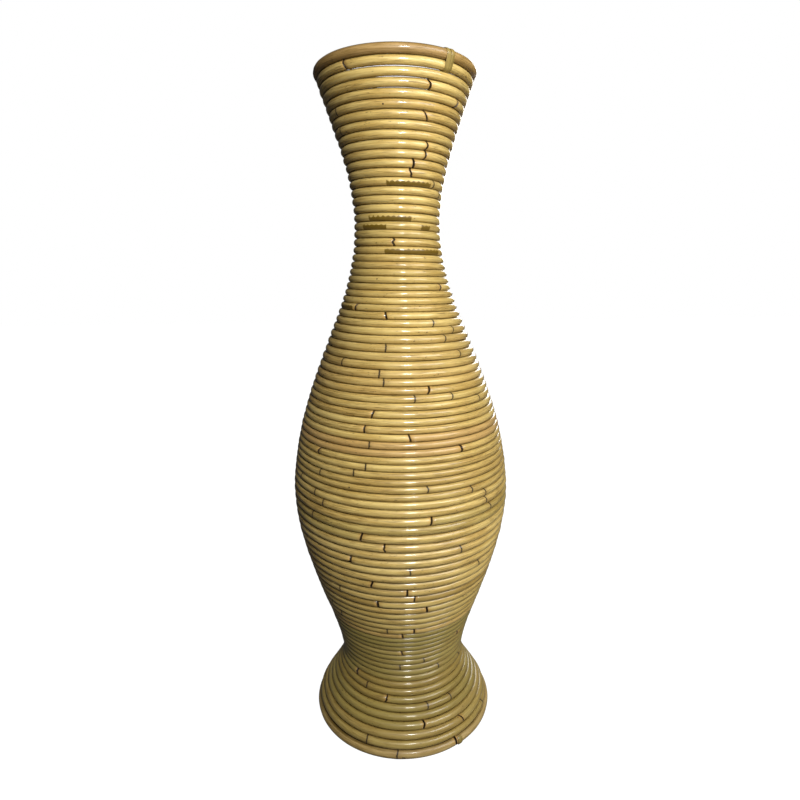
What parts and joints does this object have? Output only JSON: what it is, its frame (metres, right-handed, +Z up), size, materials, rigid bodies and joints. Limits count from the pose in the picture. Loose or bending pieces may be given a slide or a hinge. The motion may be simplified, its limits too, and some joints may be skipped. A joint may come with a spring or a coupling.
{
  "type": "floor vase",
  "caption": "Tall floor vase of round rattan cane coiled into a flared mouth, narrow neck, round belly, low waist and flared foot",
  "frame": {"origin": "centre of the base on the floor, under the vase's axis", "axes": "+Z up along the vase's axis, front (the side with the rim lashing to its right) toward -Y, +X to the viewer's right from the front"},
  "size_m": [0.2998, 0.2997, 0.8853],
  "materials": {
    "coil_cane": "peeled round rattan, straw yellow, clear gloss lacquer",
    "ring_cane": "thicker round rattan, browner, clear gloss lacquer",
    "stay_cane": "split rattan, unlacquered",
    "peel": "flat rattan peel, clear lacquer",
    "plywood": "thin plywood, bare"
  },
  "bodies": {
    "root": {"floor_disc": "plywood", "foot_ring": "ring_cane", "foot_wrap": "peel", "rim_lashing_1": "peel", "rim_lashing_2": "peel", "rim_ring": "ring_cane", "rod_01": "coil_cane", "rod_02": "coil_cane", "rod_03": "coil_cane", "rod_04": "coil_cane", "rod_05": "coil_cane", "rod_06": "coil_cane", "rod_07": "coil_cane", "rod_08": "coil_cane", "rod_09": "coil_cane", "rod_10": "coil_cane", "rod_11": "coil_cane", "rod_12": "coil_cane", "rod_13": "coil_cane", "rod_14": "coil_cane", "rod_15": "coil_cane", "rod_16": "coil_cane", "rod_17": "coil_cane", "rod_18": "coil_cane", "rod_19": "coil_cane", "rod_20": "coil_cane", "rod_21": "coil_cane", "rod_22": "coil_cane", "rod_23": "coil_cane", "rod_24": "coil_cane", "rod_25": "coil_cane", "rod_26": "coil_cane", "rod_27": "coil_cane", "rod_28": "coil_cane", "rod_29": "coil_cane", "rod_30": "coil_cane", "rod_31": "coil_cane", "rod_32": "coil_cane", "rod_33": "coil_cane", "rod_34": "coil_cane", "rod_35": "coil_cane", "rod_36": "coil_cane", "rod_37": "coil_cane", "rod_38": "coil_cane", "rod_39": "coil_cane", "rod_40": "coil_cane", "rod_41": "coil_cane", "rod_42": "coil_cane", "stay_1": "stay_cane", "stay_2": "stay_cane", "stay_3": "stay_cane", "stay_4": "stay_cane", "stay_5": "stay_cane", "stay_6": "stay_cane"}
  },
  "joints": []
}
